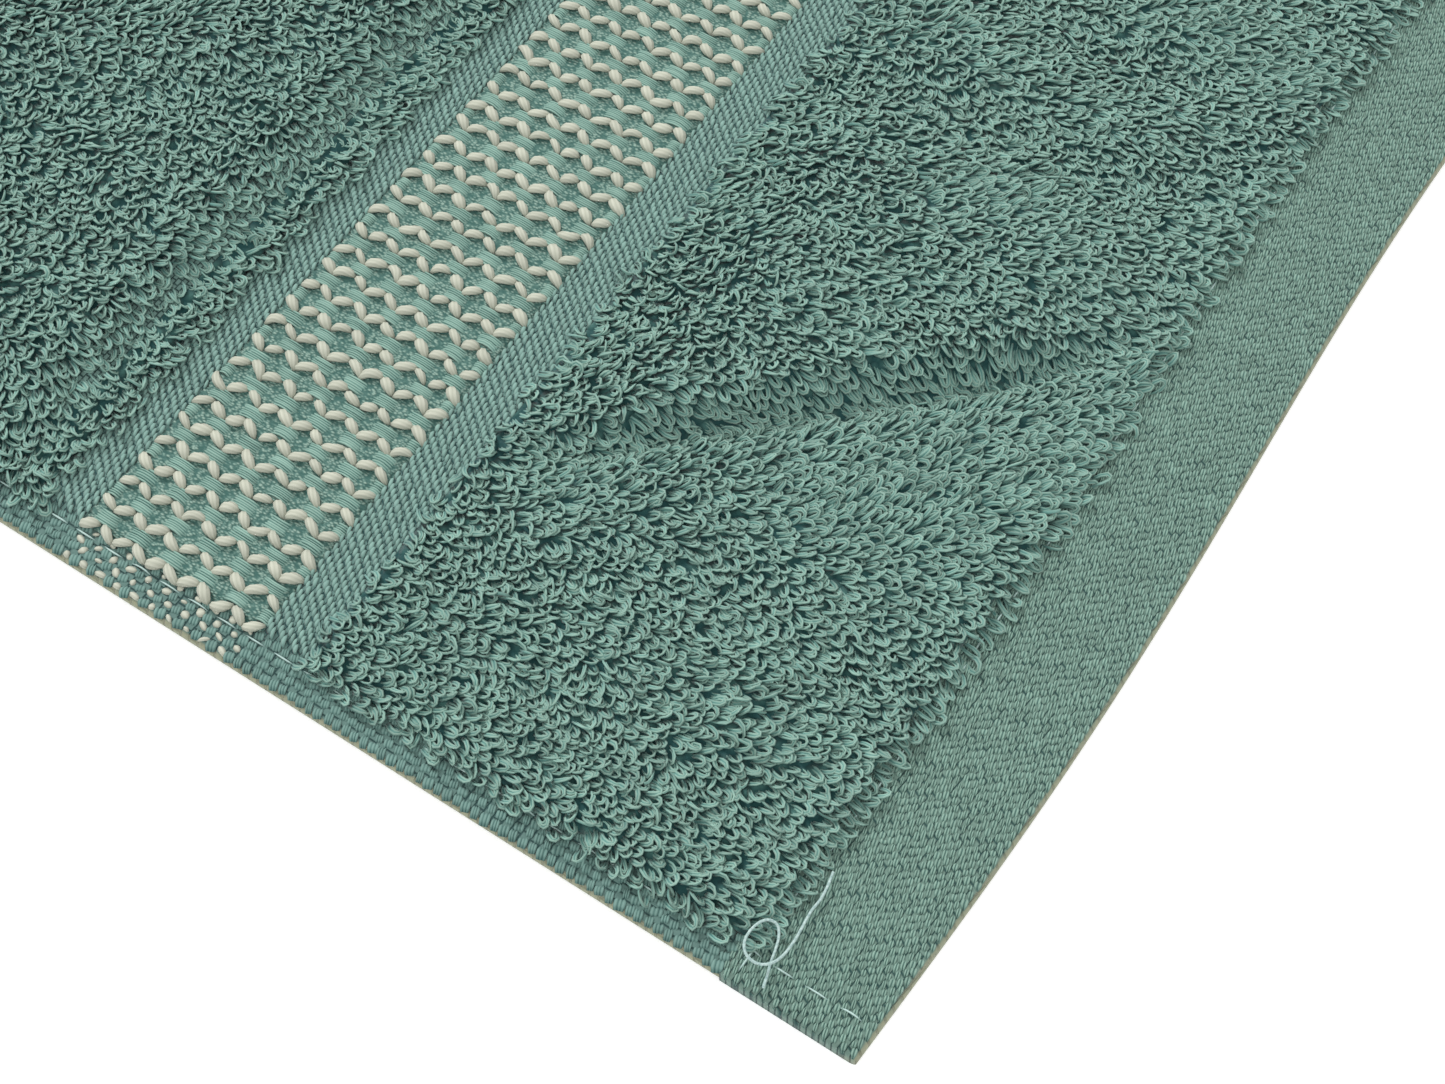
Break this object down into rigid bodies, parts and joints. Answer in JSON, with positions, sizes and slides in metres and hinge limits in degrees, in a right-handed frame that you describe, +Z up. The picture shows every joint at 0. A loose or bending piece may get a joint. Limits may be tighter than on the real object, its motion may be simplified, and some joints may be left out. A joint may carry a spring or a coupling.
{
  "type": "bath towel",
  "caption": "Flat terry bath towel with looped pile on both faces, a patterned woven border between plain stripes near each end, folded side hems and flat end hems; it folds in half.",
  "frame": {"origin": "middle of the towel's underside, where it rests on a flat surface", "axes": "+X across the width, +Y along the length away from the corner with the loose thread, +Z up out of the face"},
  "size_m": [0.7, 1.4, 0.0065],
  "materials": {
    "terry_pile": "looped cotton pile, matt",
    "ground_cloth": "plain woven cotton, matt",
    "plain_stripe": "fine plain weave, matt",
    "border_ground": "fine woven cotton, matt",
    "border_teal_yarn": "bundles of fine combed yarn, soft sheen",
    "border_white_yarn": "thick soft-twist cotton yarn, matt",
    "end_hem_weave": "broken twill, matt",
    "side_hem_weave": "basket weave, matt",
    "seam_thread": "spun sewing thread",
    "loose_thread": "spun sewing thread"
  },
  "bodies": {
    "near_half": {"near_field_pile_back": "terry_pile", "near_field_ground": "ground_cloth", "near_field_pile_face": "terry_pile", "near_strip_pile_back": "terry_pile", "near_strip_ground": "ground_cloth", "near_strip_pile_face": "terry_pile", "near_inner_stripe": "plain_stripe", "near_border_ground": "border_ground", "near_border_flat_yarn": "border_teal_yarn", "near_border_thick_yarn": "border_white_yarn", "near_outer_stripe": "plain_stripe", "near_end_hem": "end_hem_weave", "near_end_hem_stitch": "seam_thread", "near_side_hem_left": "side_hem_weave", "near_side_hem_stitch_left": "seam_thread", "near_side_hem_right": "side_hem_weave", "near_side_hem_stitch_right": "seam_thread", "corner_thread_tail": "loose_thread"},
    "far_half": {"far_field_pile_back": "terry_pile", "far_field_ground": "ground_cloth", "far_field_pile_face": "terry_pile", "far_strip_pile_back": "terry_pile", "far_strip_ground": "ground_cloth", "far_strip_pile_face": "terry_pile", "far_inner_stripe": "plain_stripe", "far_border_ground": "border_ground", "far_border_flat_yarn": "border_teal_yarn", "far_border_thick_yarn": "border_white_yarn", "far_outer_stripe": "plain_stripe", "far_end_hem": "end_hem_weave", "far_end_hem_stitch": "seam_thread", "far_side_hem_left": "side_hem_weave", "far_side_hem_stitch_left": "seam_thread", "far_side_hem_right": "side_hem_weave", "far_side_hem_stitch_right": "seam_thread"}
  },
  "joints": [
    {"name": "fold_in_half", "type": "hinge", "parent": "near_half", "child": "far_half", "pos_m": [0, 0, 0.008], "axis": [1, 0, 0], "range_deg": [0, 180]}
  ]
}
